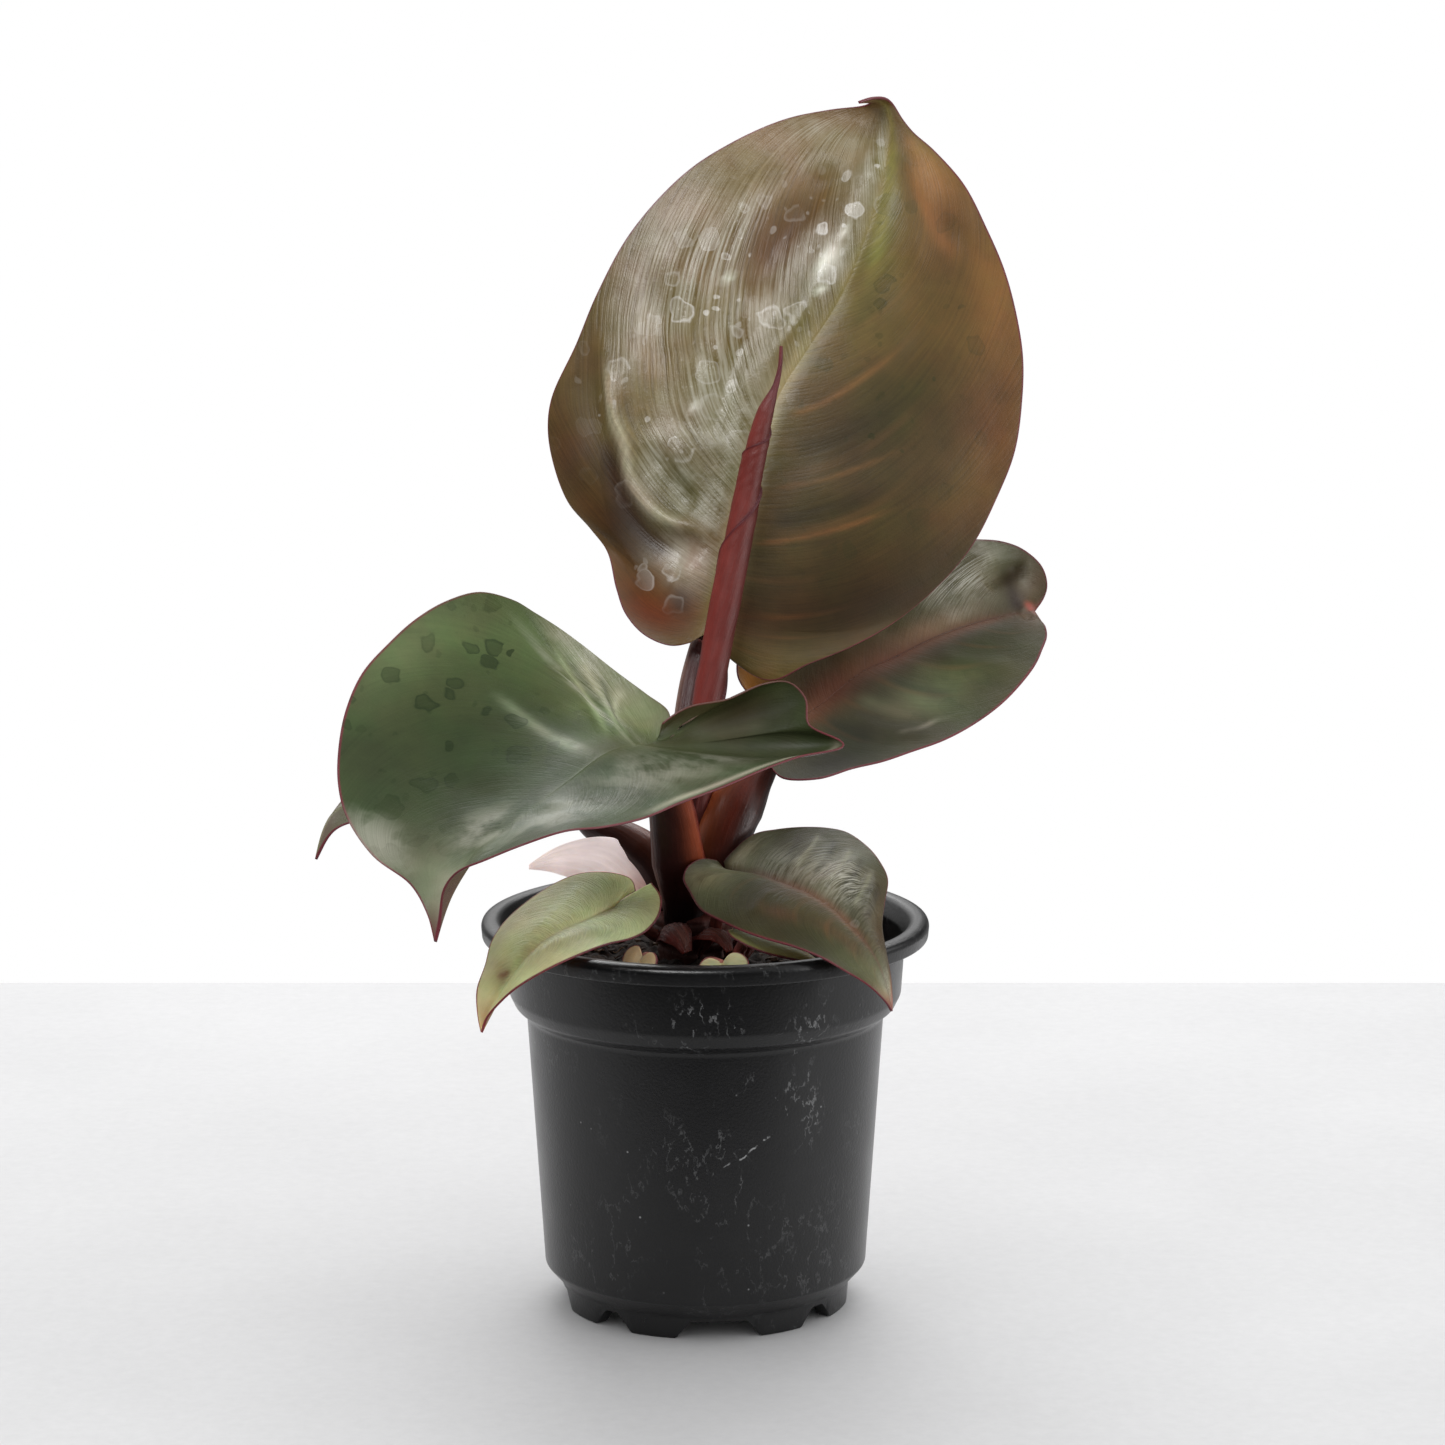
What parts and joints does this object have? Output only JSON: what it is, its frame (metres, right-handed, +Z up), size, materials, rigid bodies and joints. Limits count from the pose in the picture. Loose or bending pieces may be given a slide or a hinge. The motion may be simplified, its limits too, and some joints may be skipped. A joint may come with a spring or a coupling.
{
  "type": "potted plant",
  "caption": "Potted heart-leaved philodendron with glossy red-edged leaves on red petioles and a rolled new leaf, in a round black footed nursery pot.",
  "frame": {"origin": "centre of the whole plant's bounding box in plan, at the underside of the pot's feet", "axes": "+Z up along the pot's axis, -Y towards the side seen in the picture, +X to the right of someone who faces that side"},
  "size_m": [0.1938, 0.1738, 0.3075],
  "materials": {
    "pot_plastic": "satin",
    "soil": "matte",
    "stem": "satin",
    "leaf_bronze": "satin",
    "leaf_green": "satin",
    "leaf_dark": "satin",
    "leaf_olive": "satin",
    "leaf_grey_green": "satin",
    "leaf_new": "satin",
    "petiole": "satin",
    "sheath_pale": "matte",
    "sheath_dry": "matte",
    "leaf_juvenile": "matte"
  },
  "bodies": {
    "root": {"pot": "pot_plastic", "soil": "soil", "stem": "stem", "leaf_back_blade": "leaf_bronze", "leaf_back_petiole": "petiole", "leaf_left_blade": "leaf_green", "leaf_left_petiole": "petiole", "leaf_right_blade": "leaf_dark", "leaf_right_petiole": "petiole", "leaf_rear_blade": "leaf_green", "leaf_rear_petiole": "petiole", "leaf_front_left_blade": "leaf_olive", "leaf_front_left_petiole": "petiole", "leaf_front_right_blade": "leaf_grey_green", "leaf_front_right_petiole": "petiole", "leaf_new_spear": "leaf_new", "sheath_pale_rear": "sheath_pale", "sheath_dry_front": "sheath_dry", "sheath_dry_middle": "sheath_dry", "sheath_dry_right": "sheath_dry", "juvenile_left_blade": "leaf_juvenile", "juvenile_left_petiole": "petiole", "juvenile_middle_blade": "leaf_juvenile", "juvenile_middle_petiole": "petiole", "juvenile_right_blade": "leaf_juvenile", "juvenile_right_petiole": "petiole"}
  },
  "joints": []
}
